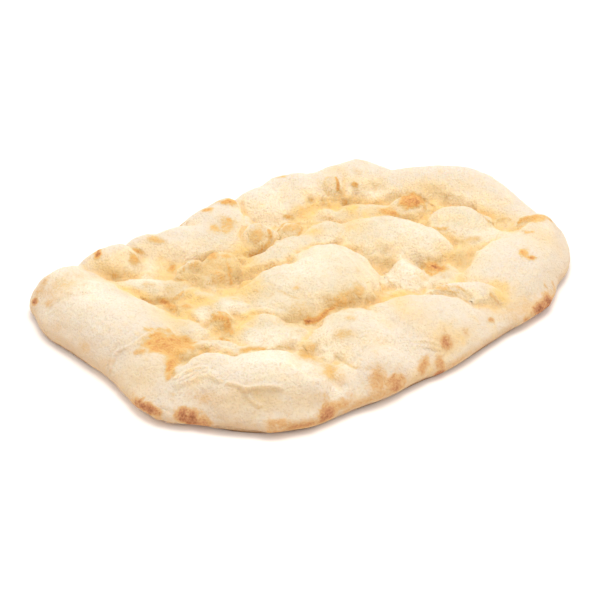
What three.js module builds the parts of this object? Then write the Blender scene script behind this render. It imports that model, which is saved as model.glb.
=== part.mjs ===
// Pinsa base: one flat oval bread of hand-stretched dough, baked plain.
// A puffed rim runs round a field of gas pillows, each pressed against the next, and the
// underside is flat. Millimetres, +Z up, length along X, far side +Y, resting on Z = 0.
import * as THREE from "three";

// Heights
const THIN = 9; // dough between the pillows, where fingers pressed it down
const RIM = 16; // plain rim, between the lobes that stand on it
const WAIST = 6; // where the edge bulges furthest out

// Reaches inwards from the outline
const SHOULDER = 26; // rounded outer side of the rim
const RIM_FLAT = 16; // rim at its full height
const RIM_FALL = 26; // rim sinking to the thin dough
const TUCK = 5; // edge curling in under itself

// Softness
const ROUNDNESS = 1.8; // power of the shoulder's curve, 2 for a quarter circle
const BLEND = 5; // height over which two pillows run together in a crease
const SWAY = 3; // wander of the pillows' outlines
const SWAY_LENGTH = 10;
const RIPPLE = 0.35; // low unevenness of the skin
const RIPPLE_LENGTH = 3.6;

// Mesh cells: half the number along and across, and the rows round the edge's underside
const HALF_CELLS_X = 40;
const HALF_CELLS_Y = 27;
const EDGE_ROWS = 4;
const EDGE_CROWDING = 0.15; // share by which cells crowd towards the edge

// Outline at the waist, clockwise from the far left corner
const OUTLINE = [
  [-151, 83], [-146, 95], [-134, 103], [-116, 106], [-98, 106], [-79, 105], [-61, 105],
  [-45, 102], [-30, 105], [-9, 108], [12, 107], [25, 105], [41, 108], [60, 104], [84, 95],
  [102, 93], [115, 81], [119, 68], [130, 57], [144, 45], [154, 29], [158, 9], [156, -17],
  [149, -40], [145, -58], [130, -75], [114, -87], [98, -93], [79, -102], [55, -105], [33, -106],
  [5, -108], [-17, -108], [-30, -106], [-57, -104], [-76, -100], [-99, -97], [-115, -89],
  [-124, -82], [-133, -72], [-143, -56], [-152, -45], [-157, -31], [-155, -9], [-154, 14],
  [-155, 39], [-156, 63],
];

// Pillows: name, centre x and y, half length, half width, turn in degrees, top, fullness.
// A fullness of 2 gives a round dome, and more gives a flatter top with steeper sides.
const PILLOWS = [
  ["far left corner roll", -130, 88, 33, 28, -25, 26.5, 2.4],
  ["left end roll", -134.5, 40, 72, 36, -89, 27, 2.6],
  ["near left corner roll", -143, -12, 28, 21, -75, 24, 2.4],
  ["near left roll", -119, -50, 33, 22, -43, 25, 2.6],
  ["near left roll end", -100, -65, 34, 31, -49, 29.5, 2.9],
  ["near left roll flank", -117, -63, 34, 25, -47, 27, 2.4],
  ["near left join", -139, -37, 22, 18, -50, 21, 2.2],
  ["saddle", -124, -7, 20, 15, -60, 18, 2.2],
  ["left roll foot", -108, 9, 24, 14, -55, 17, 2.2],
  ["low ridge", -101, -18, 20, 7, -50, 15, 2.0],
  ["white terrace", -70, -27, 28, 16, -45, 16, 2.2],
  ["brown bump", -81, -1, 8, 11, -42, 17, 2.0],
  ["low pale pillow", -70, 9, 24, 15, -42, 15, 2.0],
  ["centre pillow", -11, -10, 31, 40, -47, 29, 2.8],
  ["centre pillow left", -26, -4, 43, 27, -7, 25, 2.6],
  ["centre pillow shoulder", -47, -18, 30, 11, -46, 19, 2.4],
  ["back ridge", -9, 28, 36, 16, -4, 22, 2.4],
  ["back ridge end", 23, 28, 22, 16, -34, 22, 2.4],
  ["right centre dome", 48, 1, 35, 25, -51, 27, 2.6],
  ["right centre fold", 57, -14, 23, 23, -50, 25, 2.4],
  ["small white pillow", 32, -35, 11, 13, -42, 17, 2.2],
  ["front pillow", -40, -64, 26, 30, -40, 26, 2.6],
  ["front pillow skirt", -49, -93, 20, 22, -42, 21, 2.4],
  ["front hollow", -22, -83, 30, 22, -42, 20, 2.2],
  ["right front pillow", -1, -79, 41, 29, -44, 24, 2.6],
  ["fold ridge", 35, -78, 32, 12, -44, 24, 2.6],
  ["right end lobe", 87, -75, 52, 34, 13, 26, 2.4],
  ["right end corner", 126, -54, 16, 19, -31, 26, 2.4],
  ["right end bridge", 114, -65, 26, 20, 10, 27, 2.2],
  ["mid right pillow", 97, -17, 22, 18, -41, 21, 2.4],
  ["mid right slope", 96, -37, 26, 16, -42, 16, 2.2],
  ["scorched bump", 89, 22, 16, 15, -42, 20, 2.8],
  ["far right rim", 140, 10, 49, 29, -93, 27, 2.4],
  ["far rim corner", 123, 31, 50, 26, -41, 27, 2.4],
  ["far rim peak", 87, 73, 42, 28, -35, 28, 2.4],
  ["far rim saddle", 64, 77, 24, 22, -35, 25, 2.2],
  ["far rim middle", 44, 90, 35, 28, -17, 27, 2.6],
  ["far rim left", 22, 92, 26, 28, 0, 26, 2.4],
  ["small far rim lobe", -6, 94, 18, 18, -42, 27, 2.2],
  ["scorched far lobe", -20, 93, 20, 20, -40, 26, 2.2],
  ["far slope", -16, 81, 24, 22, -42, 24, 2.2],
  ["low far slope", -30, 73, 28, 20, -42, 21, 2.2],
  ["low far pillow", -50, 86, 27, 21, -36, 24, 2.4],
  ["far left lobe", -68, 93, 20, 17, -39, 26, 2.2],
  ["left inner pillow", -94, 90, 22, 21, -37, 27, 2.6],
  ["left inner lens", -93, 55, 31, 11, -41, 18, 2.2],
  ["rough mound", -52, 40, 15, 22, -51, 22, 2.4],
  ["rough mound left", -65, 49, 10, 10, -42, 19, 2.2],
  ["browned bump a", -8, 54, 12, 12, -42, 21, 2.2],
  ["browned bump b", 10, 45, 11, 11, -42, 20, 2.2],
  ["trough lens", 47, 47, 12, 6, -42, 13, 2.2],
  ["trough lobe", 66, 33, 22, 12, -42, 16, 2.2],
  ["valley pillow", 48, -51, 18, 12, -42, 14, 2.2],
  ["valley floor", -62, 19, 24, 13, -42, 14, 2.2],
];

// Sizes worked out from the cells
const CELLS_X = 2 * HALF_CELLS_X;
const CELLS_Y = 2 * HALF_CELLS_Y;
const RING_POINTS = 2 * (CELLS_X + CELLS_Y);

// The outline as evenly spaced points on a smooth closed curve
function outlineRing() {
  const points = OUTLINE.map(([x, y]) => new THREE.Vector3(x, y, 0));
  const curve = new THREE.CatmullRomCurve3(points, true, "catmullrom", 0.5);
  curve.arcLengthDivisions = 2000;
  return curve.getSpacedPoints(RING_POINTS).slice(0, RING_POINTS);
}

const ring = outlineRing();

// The point at a place along the ring, which may fall between two of its points
function ringPoint(place) {
  const before = Math.floor(place) % RING_POINTS;
  const after = (before + 1) % RING_POINTS;
  return ring[before].clone().lerp(ring[after], place - Math.floor(place));
}

// How far a point lies inside the outline
function inset(point) {
  let nearest = Infinity;
  const closest = new THREE.Vector3();
  for (let k = 0; k < RING_POINTS; k += 1) {
    const side = new THREE.Line3(ring[k], ring[(k + 1) % RING_POINTS]);
    side.closestPointToPoint(point, true, closest);
    nearest = Math.min(nearest, closest.distanceTo(point));
  }
  return nearest;
}

// A slow wave over the plan, between -1 and 1
function wave(x, y, length, phase) {
  const first = Math.sin(x / length + (0.6 * y) / length + phase);
  const second = Math.sin((0.7 * x) / length - (1.1 * y) / length + 2.1 * phase);
  const third = Math.sin((-0.5 * x) / length + (1.3 * y) / length + 3.7 * phase);
  return (first + second + third) / 3;
}

// The higher of two heights, with the crease between them rounded
function softMax(a, b) {
  const overlap = Math.max(BLEND - Math.abs(a - b), 0) / BLEND;
  return Math.max(a, b) + (overlap * overlap * BLEND) / 4;
}

// Height of one pillow's dome, which goes on falling outside its base
function domeHeight(pillow, x, y) {
  const [, centreX, centreY, halfLength, halfWidth, turn, top, fullness] = pillow;
  const angle = THREE.MathUtils.degToRad(turn);
  const dx = x - centreX;
  const dy = y - centreY;
  const along = (dx * Math.cos(angle) + dy * Math.sin(angle)) / halfLength;
  const across = (dy * Math.cos(angle) - dx * Math.sin(angle)) / halfWidth;
  const reach = Math.min(Math.hypot(along, across), 3);
  return THIN + (top - THIN) * (1 - reach ** fullness);
}

// Height of the plain rim, which sinks to the thin dough further in
function rimHeight(depth) {
  const fall = THREE.MathUtils.clamp((depth - RIM_FLAT) / RIM_FALL, 0, 1);
  return THIN + ((RIM - THIN) * (1 + Math.cos(Math.PI * fall))) / 2;
}

// Height of the top skin at a point, given its depth inside the outline
function skinHeight(point, depth) {
  const { x, y } = point;
  const swayedX = x + SWAY * wave(x, y, SWAY_LENGTH, 1.0);
  const swayedY = y + SWAY * wave(x, y, SWAY_LENGTH, 2.3);
  let height = rimHeight(depth);
  for (const pillow of PILLOWS) {
    height = softMax(height, domeHeight(pillow, swayedX, swayedY));
  }
  height += RIPPLE * wave(x, y, RIPPLE_LENGTH, 0.4);
  const climb = Math.min(depth / SHOULDER, 1);
  const shoulder = (1 - (1 - climb) ** ROUNDNESS) ** (1 / ROUNDNESS);
  return WAIST + (height - WAIST) * shoulder;
}

// Place along the ring of the edge point that a grid point looks out to from the centre
function ringPlace(u, v, reach) {
  const edgeU = reach > 0 ? u / reach : 0;
  const edgeV = reach > 0 ? v / reach : 0;
  if (Math.abs(v) >= Math.abs(u) && v > 0) {
    return (edgeU + 1) * HALF_CELLS_X;
  }
  if (Math.abs(v) >= Math.abs(u)) {
    return CELLS_X + CELLS_Y + (1 - edgeU) * HALF_CELLS_X;
  }
  if (u > 0) {
    return CELLS_X + (1 - edgeV) * HALF_CELLS_Y;
  }
  return (2 * CELLS_X + CELLS_Y + (edgeV + 1) * HALF_CELLS_Y) % RING_POINTS;
}

// A point of the top skin: a rectangular grid stretched out to the outline
function skinPoint(i, j) {
  const u = i / HALF_CELLS_X - 1;
  const v = j / HALF_CELLS_Y - 1;
  const reach = Math.max(Math.abs(u), Math.abs(v));
  const share = reach * (1 + EDGE_CROWDING - EDGE_CROWDING * reach ** 4);
  const point = ringPoint(ringPlace(u, v, reach)).multiplyScalar(share);
  const depth = reach < 1 ? inset(point) : 0;
  point.z = skinHeight(point, depth);
  return point;
}

// Outward direction of the outline at one of the ring's points
function outward(k) {
  const before = ring[(k + RING_POINTS - 1) % RING_POINTS];
  const after = ring[(k + 1) % RING_POINTS];
  return new THREE.Vector3(before.y - after.y, after.x - before.x, 0).normalize();
}

// Indices of the grid's edge points, in the ring's order
function edgeLoop() {
  const index = (i, j) => i * (CELLS_Y + 1) + j;
  const loop = [];
  for (let i = 0; i < CELLS_X; i += 1) loop.push(index(i, CELLS_Y));
  for (let j = CELLS_Y; j > 0; j -= 1) loop.push(index(CELLS_X, j));
  for (let i = CELLS_X; i > 0; i -= 1) loop.push(index(i, 0));
  for (let j = 0; j < CELLS_Y; j += 1) loop.push(index(0, j));
  return loop;
}

// Two triangles for a four-sided cell, split along its shorter diagonal
function splitCell(points, a, b, c, d) {
  const crossAC = points[a].distanceTo(points[c]);
  const crossBD = points[b].distanceTo(points[d]);
  return crossAC < crossBD ? [a, b, c, a, c, d] : [a, b, d, b, c, d];
}

// The closed skin: the top, the edge curling under, and the flat underside
function breadGeometry() {
  const points = [];
  const faces = [];
  const addPoint = (point) => points.push(point) - 1;

  for (let i = 0; i <= CELLS_X; i += 1) {
    for (let j = 0; j <= CELLS_Y; j += 1) addPoint(skinPoint(i, j));
  }
  for (let i = 0; i < CELLS_X; i += 1) {
    for (let j = 0; j < CELLS_Y; j += 1) {
      const corner = i * (CELLS_Y + 1) + j;
      const next = corner + CELLS_Y + 1;
      faces.push(...splitCell(points, corner, next, next + 1, corner + 1));
    }
  }

  let upper = edgeLoop();
  for (let row = 1; row <= EDGE_ROWS; row += 1) {
    const turn = (Math.PI / 2) * (row / EDGE_ROWS);
    const lower = ring.map((point, k) => {
      const lowerPoint = point.clone().addScaledVector(outward(k), -TUCK * (1 - Math.cos(turn)));
      lowerPoint.z = WAIST * (1 - Math.sin(turn));
      return addPoint(lowerPoint);
    });
    for (let k = 0; k < RING_POINTS; k += 1) {
      const after = (k + 1) % RING_POINTS;
      faces.push(...splitCell(points, upper[k], upper[after], lower[after], lower[k]));
    }
    upper = lower;
  }

  const middle = addPoint(new THREE.Vector3(0, 0, 0));
  for (let k = 0; k < RING_POINTS; k += 1) {
    faces.push(middle, upper[k], upper[(k + 1) % RING_POINTS]);
  }

  const geometry = new THREE.BufferGeometry().setFromPoints(points);
  geometry.setIndex(faces);
  geometry.computeVertexNormals();
  return geometry;
}

const crust = new THREE.MeshStandardMaterial({ color: 0xf4dcb4, roughness: 0.85, metalness: 0 });
const bread = new THREE.Mesh(breadGeometry(), crust);
bread.name = "pinsa_base";

const group = new THREE.Group();
group.add(bread);

export default group;
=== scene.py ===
import math

import bpy
import numpy as np
from mathutils import Matrix, Vector, noise
from mathutils.bvhtree import BVHTree


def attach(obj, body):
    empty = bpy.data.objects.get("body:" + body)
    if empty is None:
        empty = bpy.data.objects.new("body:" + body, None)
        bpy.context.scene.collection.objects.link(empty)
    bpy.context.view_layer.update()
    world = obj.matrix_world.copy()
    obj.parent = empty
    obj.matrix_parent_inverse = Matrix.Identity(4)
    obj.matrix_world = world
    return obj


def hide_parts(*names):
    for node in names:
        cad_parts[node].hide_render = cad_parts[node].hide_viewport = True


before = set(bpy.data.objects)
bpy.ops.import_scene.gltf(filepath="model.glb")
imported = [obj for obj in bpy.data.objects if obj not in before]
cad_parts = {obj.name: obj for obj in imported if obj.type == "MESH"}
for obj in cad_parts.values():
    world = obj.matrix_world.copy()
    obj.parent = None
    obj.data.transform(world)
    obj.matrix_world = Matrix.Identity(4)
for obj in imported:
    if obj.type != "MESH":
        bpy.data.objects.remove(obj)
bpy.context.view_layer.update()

MM = 0.001

# Heights of the bread, in millimetres
THIN = 9.0
RIM = 16.0
WAIST = 6.0

# Reaches inwards from the outline
SHOULDER = 26.0
RIM_FLAT = 16.0
RIM_FALL = 26.0
TUCK = 5.0

# Softness of the form
ROUNDNESS = 1.8
BLEND = 3.4
SWAY = 3.0
SWAY_LENGTH = 10.0
SWAY_PHASES = (1.0, 2.3)
RIPPLE = 0.35
RIPPLE_LENGTH = 3.6
RIPPLE_PHASE = 0.4

# The sines in a slow wave, as in the solid: shares of x and y, and of the phase
WAVES = [(1, 0.6, 1), (0.7, -1.1, 2.1), (-0.5, 1.3, 3.7)]

# How far out a pillow's slope is followed, in its own radii
PILLOW_REACH = 3

# Mesh cells: half the number along and across, rows round the edge and rings underneath
HALF_CELLS_X = 160
HALF_CELLS_Y = 108
EDGE_ROWS = 8
UNDER_RINGS = 12
EDGE_CROWDING = 0.15

# Outline at the waist, clockwise from the far left corner, as in the solid
OUTLINE = [
    (-151, 83), (-146, 95), (-134, 103), (-116, 106), (-98, 106), (-79, 105), (-61, 105),
    (-45, 102), (-30, 105), (-9, 108), (12, 107), (25, 105), (41, 108), (60, 104), (84, 95),
    (102, 93), (115, 81), (119, 68), (130, 57), (144, 45), (154, 29), (158, 9), (156, -17),
    (149, -40), (145, -58), (130, -75), (114, -87), (98, -93), (79, -102), (55, -105), (33, -106),
    (5, -108), (-17, -108), (-30, -106), (-57, -104), (-76, -100), (-99, -97), (-115, -89),
    (-124, -82), (-133, -72), (-143, -56), (-152, -45), (-157, -31), (-155, -9), (-154, 14),
    (-155, 39), (-156, 63),
]

# Pillows, as in the solid: name, centre, half length and width, turn in degrees, top, fullness
PILLOWS = [
    ("far left corner roll", -130, 88, 33, 28, -25, 26.5, 2.4),
    ("left end roll", -134.5, 40, 72, 36, -89, 27, 2.6),
    ("near left corner roll", -143, -12, 28, 21, -75, 24, 2.4),
    ("near left roll", -119, -50, 33, 22, -43, 25, 2.6),
    ("near left roll end", -100, -65, 34, 31, -49, 29.5, 2.9),
    ("near left roll flank", -117, -63, 34, 25, -47, 27, 2.4),
    ("near left join", -139, -37, 22, 18, -50, 21, 2.2),
    ("saddle", -124, -7, 20, 15, -60, 18, 2.2),
    ("left roll foot", -108, 9, 24, 14, -55, 17, 2.2),
    ("low ridge", -101, -18, 20, 7, -50, 15, 2.0),
    ("white terrace", -70, -27, 28, 16, -45, 16, 2.2),
    ("brown bump", -81, -1, 8, 11, -42, 17, 2.0),
    ("low pale pillow", -70, 9, 24, 15, -42, 15, 2.0),
    ("centre pillow", -11, -10, 31, 40, -47, 29, 2.8),
    ("centre pillow left", -26, -4, 43, 27, -7, 25, 2.6),
    ("centre pillow shoulder", -47, -18, 30, 11, -46, 19, 2.4),
    ("back ridge", -9, 28, 36, 16, -4, 22, 2.4),
    ("back ridge end", 23, 28, 22, 16, -34, 22, 2.4),
    ("right centre dome", 48, 1, 35, 25, -51, 27, 2.6),
    ("right centre fold", 57, -14, 23, 23, -50, 25, 2.4),
    ("small white pillow", 32, -35, 11, 13, -42, 17, 2.2),
    ("front pillow", -40, -64, 26, 30, -40, 26, 2.6),
    ("front pillow skirt", -49, -93, 20, 22, -42, 21, 2.4),
    ("front hollow", -22, -83, 30, 22, -42, 20, 2.2),
    ("right front pillow", -1, -79, 41, 29, -44, 24, 2.6),
    ("fold ridge", 35, -78, 32, 12, -44, 24, 2.6),
    ("right end lobe", 87, -75, 52, 34, 13, 26, 2.4),
    ("right end corner", 126, -54, 16, 19, -31, 26, 2.4),
    ("right end bridge", 114, -65, 26, 20, 10, 27, 2.2),
    ("mid right pillow", 97, -17, 22, 18, -41, 21, 2.4),
    ("mid right slope", 96, -37, 26, 16, -42, 16, 2.2),
    ("scorched bump", 89, 22, 16, 15, -42, 20, 2.8),
    ("far right rim", 140, 10, 49, 29, -93, 27, 2.4),
    ("far rim corner", 123, 31, 50, 26, -41, 27, 2.4),
    ("far rim peak", 87, 73, 42, 28, -35, 28, 2.4),
    ("far rim saddle", 64, 77, 24, 22, -35, 25, 2.2),
    ("far rim middle", 44, 90, 35, 28, -17, 27, 2.6),
    ("far rim left", 22, 92, 26, 28, 0, 26, 2.4),
    ("small far rim lobe", -6, 94, 18, 18, -42, 27, 2.2),
    ("scorched far lobe", -20, 93, 20, 20, -40, 26, 2.2),
    ("far slope", -16, 81, 24, 22, -42, 24, 2.2),
    ("low far slope", -30, 73, 28, 20, -42, 21, 2.2),
    ("low far pillow", -50, 86, 27, 21, -36, 24, 2.4),
    ("far left lobe", -68, 93, 20, 17, -39, 26, 2.2),
    ("left inner pillow", -94, 90, 22, 21, -37, 27, 2.6),
    ("left inner lens", -93, 55, 31, 11, -41, 18, 2.2),
    ("rough mound", -52, 40, 15, 22, -51, 22, 2.4),
    ("rough mound left", -65, 49, 10, 10, -42, 19, 2.2),
    ("browned bump a", -8, 54, 12, 12, -42, 21, 2.2),
    ("browned bump b", 10, 45, 11, 11, -42, 20, 2.2),
    ("trough lens", 47, 47, 12, 6, -42, 13, 2.2),
    ("trough lobe", 66, 33, 22, 12, -42, 16, 2.2),
    ("valley pillow", 48, -51, 18, 12, -42, 14, 2.2),
    ("valley floor", -62, 19, 24, 13, -42, 14, 2.2),
]

# Unevenness of the skin: height and length of each layer of noise, in millimetres
UNEVENNESS = [(1.5, 17.0), (1.3, 8.5), (0.7, 4.2), (0.3, 2.2)]
LAYER_OFFSET = 7.3
FINE_SWAY = 1.7
FINE_SWAY_LENGTH = 9.0
FINE_SWAY_OFFSETS = (2.6, 6.9)
BLISTER = 0.5

# Share of the unevenness that the skin keeps on its tops, gains in hollows and loses on the rim,
# and the insets in millimetres over which the rim ends
TOP_ROUGHNESS = 0.8
HOLLOW_ROUGHNESS = 1.5
RIM_SMOOTHNESS = 0.55
SMOOTH_RIM_END = 60
SMOOTH_RIM_FADE = 40

# Uneven foot of the edge and the lip above it: sizes in millimetres, shares, and offsets into the noise
BASE = 1.5
BASE_UNEVENNESS = 0.8
BASE_LENGTH = 21.0
BASE_OFFSET = 4.2
BASE_STEP = 0.4
BASE_SHARES = (0.9, 0)
LIP = 1.0
LIP_LENGTH = 26.0
LIP_OFFSET = 1.7
LIP_SPREAD = 0.4
LIP_SHARPNESS = 6

# Hollows and creases: reach in cells, the depths and insets in millimetres over which they come in,
# and how golden a hollow is; the gold in hollows is partly painted warm shade, and the crease colour is
# painted shade
HOLLOW_REACH = 13
HOLLOW_START = -1
HOLLOW_FADE = 6
HOLLOW_INSET = 10
HOLLOW_INSET_FADE = 18
HOLLOW_GOLD = 0.8
# Small creases take a colour of painted shade
CREASE_REACH = 3
CREASE_START = 0.15
CREASE_FADE = 1.2
CREASE_INSET = 4
CREASE_INSET_FADE = 8

# Crust colours by place, some of them painted light and shade: insets and heights in millimetres, slopes as
# the upward part of the normal
FLOUR_INSET = 25
FLOUR_FADE = 35
INSIDE_INSET = 8
INSIDE_FADE = 12
# Tan on steep outer flanks and towards the bottom: partly baked tan, partly painted shade
FLANK_SLOPE = 0.9
FLANK_FADE = 0.8
# Painted light: a bright warm colour laid over steep inner slopes and hollows, where shade falls
PAINTED_LIGHT_SLOPE = 0.97
PAINTED_LIGHT_FADE = 0.4
PAINTED_LIGHT_IN_HOLLOWS = 0.8
PAINTED_LIGHT_LOST_TO_PALE = 0.4
LOW_TAN_AND_SHADE_HEIGHT = 11.0
# Browned underside, carried up the foot as a dark band that partly paints the contact shade
UNDER_START = 0.8 * BASE
UNDER_FADE = 5.0
FOOT_FADE = 0.5

# Edges of the browned and tinted patches: strength, length and offset of each layer of ragged noise,
# how ragged the patches are, how fast they fall off, and how deep they reach away from the camera
RAGGED_LAYERS = [(0.5, 7.0, 3.1), (0.4, 2.8, 9.4)]
SPOT_RAGGEDNESS = 0.9
STREAK_RAGGEDNESS = 0.6
SPOT_FALL = 0.55
HALO = 0.28
HALO_FALL = 0.3
SOFT_FALL = 0.7
SPOT_DEPTH_REACH = 2.5

# Folds and creases, read off the photograph: name, rise along the normal, half width, pixels along the line
FOLDS = [
    ("near roll wrinkle a", 2.0, 1.0, [(175, 372), (188, 364), (203, 362), (212, 362)]),
    ("near roll wrinkle b", 2.0, 1.0, [(176, 379), (189, 371), (201, 368), (208, 369)]),
    ("near roll wrinkle c", 2.0, 1.0, [(176, 384), (186, 378), (197, 373), (208, 372), (218, 376)]),
    ("near roll wrinkle d", 2.0, 1.0, [(178, 387), (187, 382), (199, 376), (210, 376), (221, 381)]),
    ("near roll flap left", 1.6, 1.0, [(228, 383), (239, 385), (246, 389)]),
    ("near roll flap", 2.8, 1.1, [(246, 389), (255, 387), (266, 386), (280, 387)]),
    ("near roll flap branch", 1.2, 1.0, [(246, 389), (247, 393), (251, 400), (259, 406)]),
    ("skirt crease", -0.8, 1.3, [(336, 356), (342, 360), (354, 367), (368, 369), (378, 367)]),
    ("front wrinkle a", 0.9, 0.9, [(412, 341), (425, 341), (440, 345)]),
    ("front wrinkle b", 0.9, 0.9, [(414, 346), (428, 347), (440, 350)]),
    ("fold lens left", 1.5, 1.3, [(427, 294), (441, 291), (455, 293), (465, 300), (471, 304)]),
    ("fold lens right", 1.4, 1.2, [(471, 304), (477, 299), (487, 296)]),
    ("left corner crease", -0.9, 1.6, [(47, 311), (57, 301), (67, 296), (77, 294), (89, 292)]),
    ("left end ridge", 1.4, 1.3, [(111, 369), (114, 356), (119, 350), (129, 347), (139, 341), (149, 334)]),
    ("left end crease", -0.6, 1.5, [(108, 368), (111, 355), (117, 348), (127, 344), (137, 338), (147, 331)]),
    ("near roll groove", -1.8, 3.0, [(316, 352), (322, 362), (328, 370), (334, 379), (341, 385)]),
    ("far furrow", -1.6, 1.5, [(241, 202), (243, 212), (246, 221)]),
    ("near edge ledge", -1.0, 0.9, [(276, 432), (288, 426), (296, 424), (312, 422), (323, 421)]),
    ("near left ledge", -1.0, 0.9, [(150, 413), (164, 418), (178, 423)]),
    ("near left wrinkle", -0.8, 0.8, [(160, 408), (167, 410), (174, 413)]),
    ("near left edge bulge", 1.6, 5.0, [(125, 392), (145, 406), (165, 414), (190, 422), (215, 427)]),
    ("near edge bulge", 1.6, 5.0, [(270, 428), (290, 424), (310, 420)]),
    ("right edge bulge", 1.5, 5.0, [(520, 318), (535, 312), (546, 302)]),
    ("near rim bulge", 1.2, 4.0, [(372, 393), (385, 389), (397, 385)]),
    ("near edge fold a", 1.2, 1.0, [(143, 411), (158, 415), (172, 420), (190, 425)]),
    ("near edge fold b", -1.0, 0.9, [(196, 424), (212, 425), (230, 427), (246, 430)]),
    ("near edge fold c", 1.0, 0.9, [(200, 421), (216, 423), (234, 424)]),
]

# Lumps and dents, read off the photograph: name, pixel, half length and width as seen in millimetres,
# tilt in the picture in degrees, rise straight up
LUMPS = [
    ("mound lump a", 193, 266, 4.5, 2.5, -10, 2.4),
    ("mound lump b", 211, 255, 5, 2.4, -12, 2.6),
    ("mound plateau", 216, 277, 5.5, 3.6, 0, 2.0),
    ("mound right ridge", 234, 261, 6, 1.6, 56, 1.8),
    ("mound groove", 229, 275, 1.6, 6, 0, -1.6),
    ("valley hump", 229, 306, 8, 4, 0, 2.4),
    ("valley plateau", 202, 317, 6, 4, 0, 1),
    ("valley step a", 192, 293, 5, 2.6, 0, 1.8),
    ("valley step b", 203, 297, 3, 2, 0, 1.5),
    ("far pit a", 311, 200, 2.2, 2.2, 0, -1.6),
    ("far pit b", 323, 201, 2, 1.7, 0, -1.4),
    ("far pit c", 345, 203, 2.6, 2.6, 0, -2.2),
    ("bubble", 332, 185, 6, 5.5, 0, 2.4),
    ("bubble groove", 338, 184, 1.2, 4, 0, -1),
    ("blister", 355, 185, 2.2, 1.8, 30, 0.9),
    ("front pillow pit", 347, 334, 4, 2.2, 0, -0.8),
    ("mound fill", 194, 281, 8, 3.5, 12, 2.6),
    ("mound fill right", 240, 276, 7, 5, -30, 1.2),
    ("ridge end dip", 257, 254, 8, 4, -25, -2.6),
    ("near roll shoulder a", 284, 348, 10, 5, 8, -3.2),
    ("near roll shoulder b", 308, 357, 10, 6, 45, -6),
    ("near roll shoulder c", 260, 349, 10, 5, 0, -2.4),
    ("right valley fill", 447, 262, 9, 5, -8, 2.5),
    ("far rim foot fill", 375, 197, 11, 4, 5, 1.6),
    ("corner roll shoulder", 97, 271, 10, 4, 25, -2.6),
    ("near roll back fill", 208, 356, 13, 5, 3, 5.0),
    ("dome foot fill", 385, 263, 12, 4.5, 5, 3.0),
    ("far right foot fill", 448, 212, 14, 5, 10, 3.0),
    ("far trough fill", 325, 211, 14, 5, 0, 3.0),
    ("pillow foot fill", 268, 318, 9, 4, 0, 3.0),
    ("scorch foot fill", 418, 219, 9, 4, 5, 2.5),
]
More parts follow.
